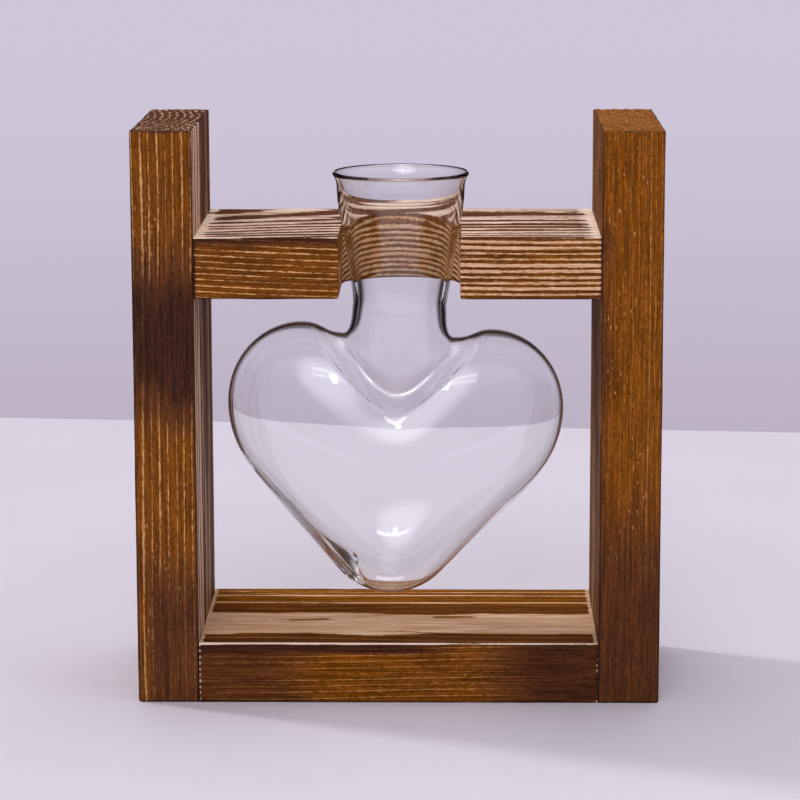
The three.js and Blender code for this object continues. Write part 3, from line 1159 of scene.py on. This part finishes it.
@dataclass
class Stand:
    """The four boards and the eight screws that hold them."""

    notch: Notch = Notch()
    screw: Screw = Screw()

    def left_post(self) -> Board:
        """Describes the left post: golden at the top and the middle, scorched between and at its foot.

        Returns:
            The board.
        """
        return Board(
            node="left_post",
            slot="post_wood",
            along=Axis.Z,
            rings=Rings(-75.0, 6.0, 1.8, start=0.39, sway=0.3, sway_length=190.0, wander=0.3, ripple=0.3),
            char=0.2,
            brushed=0.24,
            lines=0.9,
            ends_eased=True,
            patches=(
                Patch(char=0.95, lines=0.3, z=(74.0, 109.0), soft=(1.0, 1.0, 24.0), wander=5.0),
                Patch(char=0.62, lines=0.35, z=(-19.0, 32.0), soft=(1.0, 1.0, 26.0), wander=5.0),
                Patch(char=0.3, lines=0.7, x=(-66.0, -60.5), z=(-9.0, 30.0), soft=(2.0, 1.0, 10.0)),
                # Painted light: the inner face is whitened a little, as if it were lit more.
                Patch(char=0.5, brushed=0.48, lines=0.6, painted_light=0.15, face=Face.RIGHT),
                Patch(brushed=0.85, y=(-27.0, -6.0), face=Face.RIGHT, soft=(1.0, 3.0, 1.0), wander=0.4),
                # Painted sheen whitens the end grain on top.
                Patch(char=0.75, brushed=0.4, lines=1.0, painted_light=0.4, face=Face.TOP),
            ),
        )

    def right_post(self) -> Board:
        """Describes the right post: an even brown that deepens to a reddish scorch at its foot.

        Returns:
            The board.
        """
        return Board(
            node="right_post",
            slot="post_wood",
            along=Axis.Z,
            rings=Rings(-9.0, 2.0, 0.5, sway=0.2, wander=0.12),
            char=0.05,
            lines=0.12,
            ends_eased=True,
            end_relief=0.55 * MM,
            end_tear=0.9,
            patches=(
                Patch(lines=0.55, x=(58.5, 66.0), soft=(3.0, 1.0, 1.0)),
                Patch(char=0.4, x=(47.0, 51.5), z=(-19.0, 119.0), soft=(5.0, 1.0, 12.0)),
                Patch(char=0.66, lines=0.05, z=(-19.0, 44.0), soft=(1.0, 1.0, 44.0), wander=5.0),
                Patch(char=0.45, brushed=0.5, face=Face.LEFT),
                Patch(char=0.2, lines=0.5, brushed=0.3, face=Face.TOP),
            ),
        )

    def upper_rail(self) -> Board:
        """Describes the upper rail: brushed pale on top and whitened there by painted sheen, browner on its
        left half than on its right.

        Returns:
            The board.
        """
        edge = {"x": (-60.0, -8.0), "z": (113.6, 117.0)}
        inside = {"x": (-14.2, 15.2), "y": (-27.0, 12.0), "z": (101.0, 114.5)}
        ends = ((-60.0, -46.8), (46.8, 60.0))
        return Board(
            node="upper_rail",
            slot="rail_wood",
            along=Axis.X,
            rings=Rings(-150.0, 30.0, 1.32, 0.2, -0.0255, -0.9, 196.0, 0.25, wander=0.4),
            char=0.3,
            lines=1.0,
            ends_eased=False,
            sheen=0.02,
            patches=(
                Patch(brushed=0.33, face=Face.FRONT),
                Patch(brushed=0.68, x=(13.0, 60.0), face=Face.FRONT, soft=(4.0, 1.0, 1.0)),
                Patch(char=0.75, lines=0.3, face=Face.FRONT, soft=(10.0, 1.0, 1.2), **edge),
                # Painted sheen whitens the top.
                Patch(char=0.62, brushed=0.67, painted_light=0.4, face=Face.TOP),
                Patch(char=0.1, brushed=0.72, soft=(0.6, 1.0, 0.6), **inside),
                *(Patch(brushed=1.3, x=end, face=Face.TOP, soft=(2.0, 1.0, 1.0), wander=0.8) for end in ends),
                Patch(char=0.6, brushed=0.1, face=Face.BOTTOM),
            ),
        )

    def base_rail(self) -> Board:
        """Describes the base rail: a wide brushed band along its top, and dark ends on its front.

        Returns:
            The board.
        """
        left = {"x": (-60.0, -24.0), "soft": (22.0, 1.0, 1.0)}
        right = {"x": (24.0, 60.0), "soft": (26.0, 1.0, 1.0)}
        upper = {"x": (-60.0, 10.0), "z": (12.4, 17.0), "soft": (20.0, 1.0, 0.8)}
        front_edge = {"y": (-29.0, -27.0), "z": (14.7, 16.0), "soft": (1.0, 0.5, 0.2)}
        stripes = ((12.2, 13.6), (19.6, 21.0))
        ends = ((-60.0, -48.0), (48.0, 60.0))
        worn = ((0.8, (-60.0, -48.55)), (0.75, (48.65, 60.0)))
        return Board(
            node="base_rail",
            slot="rail_wood",
            along=Axis.X,
            rings=Rings(-40.0, -8.0, 1.35, start=0.3, lean=0.004, sway=0.4, wander=0.3),
            char=0.2,
            lines=0.6,
            ends_eased=False,
            sheen=0.0,
            spark_share=0.25,
            cream=(232, 202, 174),
            tan=(190, 138, 97),
            patches=(
                Patch(char=0.6, lines=0.4, face=Face.FRONT, wander=4.0, **left),
                Patch(char=0.78, lines=0.2, face=Face.FRONT, wander=4.0, **right),
                Patch(char=0.85, lines=0.1, face=Face.FRONT, **upper),
                Patch(char=0.12, lines=0.45, face=Face.TOP),
                Patch(char=0.4, lines=0.2, y=(2.0, 11.0), face=Face.TOP, soft=(1.0, 3.0, 1.0)),
                Patch(brushed=0.6, y=(22.5, 25.5), face=Face.TOP, soft=(1.0, 2.0, 1.0), wander=0.5),
                Patch(char=0.5, y=(-29.0, -19.0), face=Face.TOP, soft=(1.0, 3.0, 1.0), wander=2.0),
                Patch(brushed=1.4, y=(-19.0, 1.8), face=Face.TOP, soft=(1.0, 3.4, 1.0), wander=2.0),
                Patch(brushed=0.0, x=(8.0, 20.0), y=(-3.0, -0.8), face=Face.TOP, soft=(5.0, 1.2, 1.0)),
                *(Patch(brushed=1.3, y=y, face=Face.TOP, soft=(1.0, 0.9, 1.0), wander=0.3) for y in stripes),
                # A worn cream line on the top front edge, whitened further with a painted highlight.
                Patch(brushed=1.6, painted_light=0.4, wander=0.1, **front_edge),
                *(Patch(brushed=1.6, x=end, face=Face.TOP, soft=(0.6, 1.0, 1.0), wander=0.2) for end in ends),
                *(
                    Patch(brushed=level, x=end, face=Face.FRONT, soft=(0.2, 1.0, 1.0), wander=0.1)
                    for level, end in worn
                ),
            ),
        )

    def build(self) -> None:
        """Builds the boards with their holes and notch, then sets the screws."""
        screws = sorted(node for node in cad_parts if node.startswith("screw_"))
        for board in (self.left_post(), self.right_post(), self.base_rail(), self.upper_rail()):
            word = board.node.split("_")[0]
            board.cutters = [self.screw.hole(node) for node in screws if word in node.split("_")]
            if board.node == "upper_rail":
                board.cutters.append(self.notch.cutter(*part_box(board.node)))
            board.build()
        self.screw.build(screws, ZincSteel())


class Curve(ABC):
    """A stretch of an outline."""

    @abstractmethod
    def at(self, part: float) -> Span:
        """Gives the distance out and the height at a part of the stretch, from 0 to 1."""


@dataclass(frozen=True)
class PulledCurve(Curve):
    """A stretch from its first point to its last one, drawn towards the points between them."""

    pulls: tuple[Span, ...]

    def at(self, part: float) -> Span:
        """Blends the points, each with its share there.

        Args:
            part: How far along the stretch, from 0 to 1.

        Returns:
            The distance out and the height there.
        """
        last = len(self.pulls) - 1
        shares = [math.comb(last, k) * (1 - part) ** (last - k) * part**k for k in range(last + 1)]
        out, up = (sum(share * pull[k] for share, pull in zip(shares, self.pulls)) for k in (0, 1))
        return (out, up)


@dataclass(frozen=True)
class RoundCurve(Curve):
    """A stretch of an ellipse between two angles."""

    middle: Span
    reach: Span
    start: float
    end: float

    def at(self, part: float) -> Span:
        """Turns from the start's angle towards the end's.

        Args:
            part: How far along the stretch, from 0 to 1.

        Returns:
            The distance out and the height there.
        """
        angle = self.start + (self.end - self.start) * part
        out, up = self.middle
        return (out + self.reach[0] * math.cos(angle), up + self.reach[1] * math.sin(angle))


@dataclass(frozen=True)
class SmoothCurve(Curve):
    """A stretch that passes smoothly through its knots."""

    knots: tuple[Span, ...]

    def at(self, part: float) -> Span:
        """Eases from one knot to the next.

        Args:
            part: How far along the stretch, from 0 to 1.

        Returns:
            The distance out and the height there.
        """
        last = len(self.knots) - 1
        step = min(int(part * last), last - 1)
        rest = part * last - step
        before, start, end, after = np.array(self.knots)[np.clip(step + np.arange(-1, 3), 0, last)]
        leave, meet = (end - before) / 2, (after - start) / 2
        cubic = (2 * start - 2 * end + leave + meet) * rest**3
        square = (-3 * start + 3 * end - 2 * leave - meet) * rest**2
        out, up = cubic + square + leave * rest + start
        return (out, up)


@dataclass
class HeartVase:
    """The blown glass vase, in millimetres up from its tip and out from its neck's axis."""

    wall: float = 1.45
    blown_wall: float = 0.6
    lip_wall: float = 0.8
    neck_radius: float = 11.75
    seat_radius: float = 14.35
    cup_radius: float = 15.45
    seat_height: float = 92.6
    seat_ease: float = 0.5
    cup_height: float = 9.6
    lip_height: float = 3.2
    lip_flare: float = 1.4
    neck_shown: float = 6.0
    neck_offset: float = 0.5
    heart_width: float = 83.5
    heart_height: float = 71.6
    heart_depth: float = 40.0
    root_drop: float = 6.2
    root_spread: float = 2.1
    lobe_rise: float = 2.4
    lobe_spacing: float = 47.1
    lobe_height: float = 20.1
    lobe_radius: float = 26.0
    tip_radius: float = 17.5
    crease_drop: float = 18.4
    crease_spread: float = 0.5
    shoulder_drop: float = 5.4
    shoulder_spread: float = 4.4
    belly_drop: float = 13.2
    cant: float = math.radians(2.4)
    cant_bend: float = 6.0
    lump_swell: float = 3.9
    lump_reach: float = 4.2
    lump_length: float = 5.5
    lump_stretch: float = 1.7
    lump_turn: float = 2.0
    lump_place: Place = (-12.0, 0.0, 4.8)
    lump_uphill: Place = (-0.73, 0.0, 0.683)
    run_swell: float = 1.2
    run_reach: float = 4.5
    run_foot: Place = (-13.0, 0.0, 5.8)
    run_top: Place = (-34.0, 0.0, 29.0)
    run_taper: float = 0.6
    round_steps: int = 180
    lip_steps: int = 9
    stretch_steps: tuple[int, ...] = (8, 26, 14, 14, 22, 14, 12, 20)
    valleys: tuple[float, ...] = (1.0, 1.0, 1.0, 0.2, 0.7, 1.5, 2.0, 2.0)
    nudge: float = 1e-3
    sharp_degrees: float = 80.0
    side: list[Curve] = field(init=False)
    front: list[Curve] = field(init=False)

    def __post_init__(self) -> None:
        """Draws the two half outlines."""
        self.side = [*self.neck_curves(), *self.side_curves()]
        self.front = [*self.neck_curves(), *self.front_curves()]

    @property
    def cup_top(self) -> float:
        """The height where the cup ends and the lip starts."""
        return self.seat_height + self.cup_height

    @property
    def top(self) -> float:
        """The height of the lip's top."""
        return self.cup_top + self.lip_height + self.lip_wall / 2

    def neck_curves(self) -> list[Curve]:
        """Draws the lip, and the cup down into the neck.

        Returns:
            The two stretches.
        """
        foot = self.cup_radius + self.lip_flare / 4
        seat = self.seat_height - self.seat_ease
        neck_top = self.heart_height + self.neck_shown / 2
        lip = PulledCurve((
            (self.cup_radius + self.lip_flare, self.cup_top + self.lip_height),
            (foot, self.cup_top + self.lip_height / 2),
            (foot, self.cup_top),
        ))
        cup = SmoothCurve((
            (foot, self.cup_top),
            (self.cup_radius, (self.cup_top + self.seat_height) / 2),
            (self.seat_radius, seat),
            ((self.seat_radius + self.neck_radius) / 2, (seat + neck_top) / 2),
            (self.neck_radius, neck_top),
            (self.neck_radius, self.heart_height),
        ))
        return [lip, cup]

    def side_curves(self) -> list[Curve]:
        """Draws the heart's side from the neck's root over the lobe to the tip.

        Returns:
            The six stretches.
        """
        root = (self.neck_radius, self.heart_height)
        dip = (self.neck_radius + self.root_spread, self.heart_height - self.root_drop)
        lobe = (self.lobe_spacing / 2, dip[1] + self.lobe_rise)
        halfway = (dip[0] + lobe[0]) / 2
        widest = lobe[1] - self.lobe_height
        reach = (self.heart_width / 2 - lobe[0], self.lobe_height)
        across = self.heart_width / 2 - self.lobe_radius
        rise = widest - self.tip_radius
        lean = math.acos((self.tip_radius - self.lobe_radius) / math.hypot(across, rise))
        touch = math.atan2(rise, across) - lean
        lower = RoundCurve((across, widest), (self.lobe_radius, self.lobe_radius), 0.0, touch)
        tip = RoundCurve((0.0, self.tip_radius), (self.tip_radius, self.tip_radius), touch, -math.pi / 2)
        return [
            PulledCurve((root, (root[0], dip[1]), dip)),
            PulledCurve((dip, (halfway, dip[1]), (halfway, lobe[1]), lobe)),
            RoundCurve((lobe[0], widest), reach, math.pi / 2, 0.0),
            lower,
            PulledCurve((lower.at(1.0), tip.at(0.0))),
            tip,
        ]

    def front_curves(self) -> list[Curve]:
        """Draws the heart's front from the neck's root down the crease and over the belly to the tip.

        Returns:
            The six stretches.
        """
        root = (self.neck_radius, self.heart_height)
        crease = (self.neck_radius + self.crease_spread, self.heart_height - self.crease_drop)
        shoulder = (self.neck_radius + self.shoulder_spread, crease[1] - self.shoulder_drop)
        belly = (self.heart_depth / 2, shoulder[1] - self.belly_drop)
        third = math.pi / 6
        return [
            PulledCurve((root, crease)),
            PulledCurve((crease, (crease[0], crease[1] - self.shoulder_drop / 4), shoulder)),
            PulledCurve((shoulder, (belly[0], belly[1] + self.belly_drop / 2), belly)),
            *(RoundCurve((0.0, belly[1]), belly, -third * k, -third * (k + 1)) for k in range(3)),
        ]

    def skin(self, along: float, turns: Floats) -> Floats:
        """Finds places on the outer skin, all round one ring.

        Args:
            along: The stretch, counted from the lip, and the part of it.
            turns: Angles about the neck's axis.

        Returns:
            One place for each angle.
        """
        stretch = min(int(along), len(self.valleys) - 1)
        part = along - stretch
        side, front = self.side[stretch].at(part), self.front[stretch].at(part)
        before = self.valleys[max(stretch - 1, 0)]
        valley = before + (self.valleys[stretch] - before) * part
        climb = (np.hypot(np.cos(turns), valley) - valley) / (math.hypot(1.0, valley) - valley)
        height = front[1] + (side[1] - front[1]) * climb
        return np.stack([side[0] * np.cos(turns), front[0] * np.sin(turns), height], -1)

    def inward(self, along: float, turns: Floats) -> Floats:
        """Finds the direction into the glass at each place of a ring.

        Args:
            along: The stretch, counted from the lip, and the part of it.
            turns: Angles about the neck's axis.

        Returns:
            One direction for each angle.
        """
        above = self.skin(max(along - self.nudge, 0.0), turns)
        below = self.skin(min(along + self.nudge, len(self.valleys)), turns)
        around = self.skin(along, turns + self.nudge) - self.skin(along, turns - self.nudge)
        normal = np.cross(around, below - above)
        return normal / np.linalg.norm(normal, axis=1, keepdims=True)

    def wall_at(self, places: Floats) -> Floats:
        """Gives the glass's thickness: full in the neck, thin in the heart and at the lip.

        Args:
            places: Places on the outer skin.

        Returns:
            The thickness, swollen where the glass ran down.
        """
        heights = places[:, Axis.Z]
        neck = smoothstep(self.heart_height - self.crease_drop, self.heart_height + self.neck_shown, heights)
        lip = smoothstep(self.seat_height, self.cup_top + self.lip_height, heights)
        even = self.blown_wall + (self.wall - self.blown_wall) * neck + (self.lip_wall - self.wall) * lip
        return even + self.lump(places) + self.run(places)

    def lump(self, places: Floats) -> Floats:
        """Gives the lump where the glass set, longer on its uphill side.

        Args:
            places: Places on the outer skin.

        Returns:
            How much thicker the lump makes the glass.
        """
        offset, uphill = places - np.array(self.lump_place), np.array(self.lump_uphill)
        climb = offset @ uphill
        across = np.linalg.norm(offset - climb[:, None] * uphill, axis=1) / self.lump_reach
        length = self.lump_length + self.lump_stretch * np.tanh(climb / self.lump_turn)
        away = np.hypot(climb / length, across)
        return self.lump_swell * np.exp(-away * away)

    def run(self, places: Floats) -> Floats:
        """Gives the run of glass that leads down to the lump.

        Args:
            places: Places on the outer skin.

        Returns:
            How much thicker the run makes the glass.
        """
        foot, way = np.array(self.run_foot), np.array(self.run_top) - np.array(self.run_foot)
        part = np.clip((places - foot) @ way / (way @ way), 0.0, 1.0)
        away = np.linalg.norm(places - foot - part[:, None] * way, axis=1) / self.run_reach
        return self.run_swell * (1 - self.run_taper * part) * np.exp(-away * away)

    def inner_skin(self, along: float, turns: Floats) -> Floats:
        """Finds places on the inner skin, all round one ring."""
        outer = self.skin(along, turns)
        return outer + self.inward(along, turns) * self.wall_at(outer)[:, None]

    def lip_rings(self, turns: Floats) -> list[Floats]:
        """Rounds the lip over from the outer skin to the inner one.

        Args:
            turns: Angles about the neck's axis.

        Returns:
            The rings between the two skins.
        """
        outer, inner = self.skin(0.0, turns), self.inner_skin(0.0, turns)
        middle, half = (outer + inner) / 2, (outer - inner) / 2
        rise = np.array([0.0, 0.0, self.lip_wall / 2])
        angles = np.linspace(0.0, math.pi, self.lip_steps)[1:-1]
        return [middle + half * math.cos(angle) + rise * math.sin(angle) for angle in angles]

    def canted(self, places: Floats) -> Floats:
        """Leans the heart to one side under its upright neck.

        Args:
            places: Places on the glass.

        Returns:
            The places, bent over below the notch.
        """
        drop = np.maximum(self.heart_height + self.neck_shown + self.cant_bend - places[:, Axis.Z], 0.0)
        bent = np.minimum(drop / self.cant_bend, 1.0)
        moved = places.copy()
        moved[:, Axis.X] -= math.tan(self.cant) * bent * (drop - self.cant_bend * bent / 2)
        moved[:, Axis.Z] -= places[:, Axis.X] * math.sin(self.cant) * bent
        return moved

    def build(self, finish: ClearGlass) -> None:
        """Makes the vase as one closed wall, up the outside, over the lip and down the inside.

        Args:
            finish: The glass.
        """
        turns = turns_of(self.round_steps)
        places = [k + step / steps for k, steps in enumerate(self.stretch_steps) for step in range(steps)]
        outside = [self.skin(along, turns) for along in reversed(places)]
        inside = [self.inner_skin(along, turns) for along in places]
        tip = np.zeros((1, 3))
        well = np.array([[0.0, 0.0, self.wall_at(tip)[0]]])
        low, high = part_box("heart_vase")
        origin = np.array([self.neck_offset * MM, (low.y + high.y) / 2, high.z - self.top * MM])
        *rings, foot, floor = (
            self.canted(part) * MM + origin for part in (*outside, *self.lip_rings(turns), *inside, tip, well)
        )
        piece = capped("heart_vase_glass", rings, foot[0], floor[0])
        shade_smooth(piece, self.sharp_degrees)
        dress(piece, finish.material(), VASE, "heart_vase")


@dataclass(frozen=True)
class Lamp:
    """A soft lamp that looks at the stand: square, or a strip for the gloss alone if it has a height."""

    name: str
    place: Place
    power: float
    size: float
    mirrored: bool
    height: float | None = None
    aim: Place = (0.0, 0.0, 0.06)

    def hang(self) -> None:
        """Hangs the lamp."""
        data = bpy.data.lights.new(self.name, "AREA")
        data.energy = self.power
        data.size = self.size
        lamp = bpy.data.objects.new(self.name, data)
        lamp.visible_glossy = self.mirrored
        lamp.visible_transmission = self.mirrored
        if self.height is not None:
            data.shape = "RECTANGLE"
            data.size_y = self.height
            lamp.visible_diffuse = False
        lamp.location = self.place
        lamp.rotation_euler = (Vector(self.aim) - Vector(self.place)).to_track_quat("-Z", "Y").to_euler()
        bpy.context.scene.collection.objects.link(lamp)
        LOG.info("%s lamp hung", self.name)


@dataclass
class Studio:
    """The table, the light and the camera."""

    camera_place: Place = (0.0138, -0.78169, 0.21671)
    camera_pitch: float = math.radians(10.589)
    camera_yaw: float = math.radians(1.004)
    camera_roll: float = math.radians(-0.138)
    lens: float = 142.8
    sensor: float = 36.0
    table_colour: Rgb = (209, 202, 212)
    table_back: float = 0.328
    table_back_slope: float = -0.0925
    table_reach: float = 8.0
    wall_high: Rgb = (206, 198, 217)
    wall_low: Rgb = (187, 176, 194)
    wall_rise: Span = (-0.22, -0.07)
    wall_edge: Span = (0.15, 0.3)
    flank: Rgb = (20, 19, 21)
    flag_edge: Span = (0.06, 0.2)
    flank_edge: Span = (0.3, 0.55)
    room: Rgb = (112, 108, 116)
    ceiling: Rgb = (212, 208, 218)
    ceiling_edge: Span = (0.35, 0.7)
    window: Rgba = (3.0, 3.0, 3.1, 1.0)
    window_from: Place = (-0.1, -0.75, 0.62)
    window_edge: Span = (0.925, 0.985)
    key_from: Place = (-0.915, 0.405, 0.70)
    key_strength: float = 1.3
    key_angle: float = 0.11
    lamps: tuple[Lamp, ...] = (
        Lamp("fill", (-0.4, -1.6, 1.1), 3.6, 1.4, mirrored=False),
        Lamp("side", (1.1, -0.7, 0.55), 3.0, 0.7, mirrored=False),
        Lamp("top", (0.0, 0.35, 1.3), 4.5, 0.7, mirrored=True),
        Lamp("glint", (-0.05, -0.9, 0.8), 0.5, 0.08, mirrored=True),
        Lamp("strip", (0.0, -0.85, 0.85), 0.53, 0.6, mirrored=True, height=0.07),
    )
    bounces: int = 40
    gloss_bounces: int = 24

    def build(self) -> None:
        """Builds the table, the light and the camera."""
        self.table()
        self.world()
        self.key()
        for lamp in self.lamps:
            lamp.hang()
        self.camera()
        scene = bpy.context.scene
        scene.view_settings.view_transform = "Standard"
        scene.cycles.caustics_reflective = False
        scene.cycles.max_bounces = self.bounces
        scene.cycles.glossy_bounces = self.gloss_bounces
        scene.cycles.transmission_bounces = self.bounces

    def table(self) -> None:
        """Lays the table top, with its far edge behind the stand."""
        reach = self.table_reach
        tilt = self.table_back_slope * reach
        points = np.array([
            [-reach, -reach, 0.0],
            [reach, -reach, 0.0],
            [reach, self.table_back + tilt, 0.0],
            [-reach, self.table_back - tilt, 0.0],
        ])
        top = mesh_object("table", points, [[0, 1, 2, 3]])
        top.data.materials.append(PaleSurface("table_top", self.table_colour).material())
        LOG.info("table laid")

    def world(self) -> None:
        """Surrounds the scene with a pale wall, and with a darker room that only lights the pieces."""
        world = bpy.data.worlds.new("room")
        world.use_nodes = True
        sheet = NodeSheet(world.node_tree)
        kinds = ("OutputWorld", "Background", "SeparateXYZ", "VectorMath")
        output, light, parts, aim = (sheet.node(kind) for kind in kinds)
        way = sheet.node("TexCoord").outputs["Generated"]
        sheet.feed(parts.inputs[0], way)
        x, y, z = parts.outputs
        aim.operation = "DOT_PRODUCT"
        sheet.feed(aim.inputs[0], way)
        sheet.feed(aim.inputs[1], Vector(self.window_from).normalized())
        flank = tone(self.flank)
        wall = sheet.mix(sheet.span(z, *self.wall_rise), tone(self.wall_low), tone(self.wall_high))
        colour = sheet.mix(sheet.span(sheet.math("ABSOLUTE", x), *self.wall_edge), wall, flank)
        colour = sheet.mix(sheet.span(z, *self.flag_edge), colour, flank)
        colour = sheet.mix(sheet.span(y, *self.flank_edge), tone(self.room), colour)
        colour = sheet.mix(sheet.span(z, *self.ceiling_edge), colour, tone(self.ceiling))
        colour = sheet.mix(sheet.span(aim.outputs["Value"], *self.window_edge), colour, self.window)
        colour = sheet.mix(sheet.node("LightPath").outputs["Is Camera Ray"], colour, wall)
        sheet.feed(light.inputs["Color"], colour)
        sheet.feed(output.inputs["Surface"], light.outputs[0])
        bpy.context.scene.world = world

    def key(self) -> None:
        """Sets the low light that comes from the left and behind."""
        data = bpy.data.lights.new("key", "SUN")
        data.energy = self.key_strength
        data.angle = self.key_angle
        lamp = bpy.data.objects.new("key", data)
        lamp.rotation_euler = (-Vector(self.key_from)).to_track_quat("-Z", "Y").to_euler()
        lamp.visible_glossy = False
        lamp.visible_transmission = False
        bpy.context.scene.collection.objects.link(lamp)
        LOG.info("key set")

    def camera(self) -> None:
        """Sets up the camera at the picture's angle."""
        data = bpy.data.cameras.new("camera")
        data.lens = self.lens
        data.sensor_width = self.sensor
        camera = bpy.data.objects.new("camera", data)
        turn = Matrix.Rotation(self.camera_yaw, 4, "Z")
        tilt = Matrix.Rotation(math.pi / 2 - self.camera_pitch, 4, "X")
        roll = Matrix.Rotation(self.camera_roll, 4, "Z")
        camera.matrix_world = Matrix.Translation(self.camera_place) @ turn @ tilt @ roll
        bpy.context.scene.collection.objects.link(camera)
        bpy.context.scene.camera = camera
        LOG.info("camera set")


def main() -> None:
    """Builds the studio, the stand and the vase in order."""
    logging.basicConfig(level=logging.INFO, format="%(name)s %(message)s")
    Studio().build()
    Stand().build()
    HeartVase().build(ClearGlass())


if __name__ == "__main__":
    main()
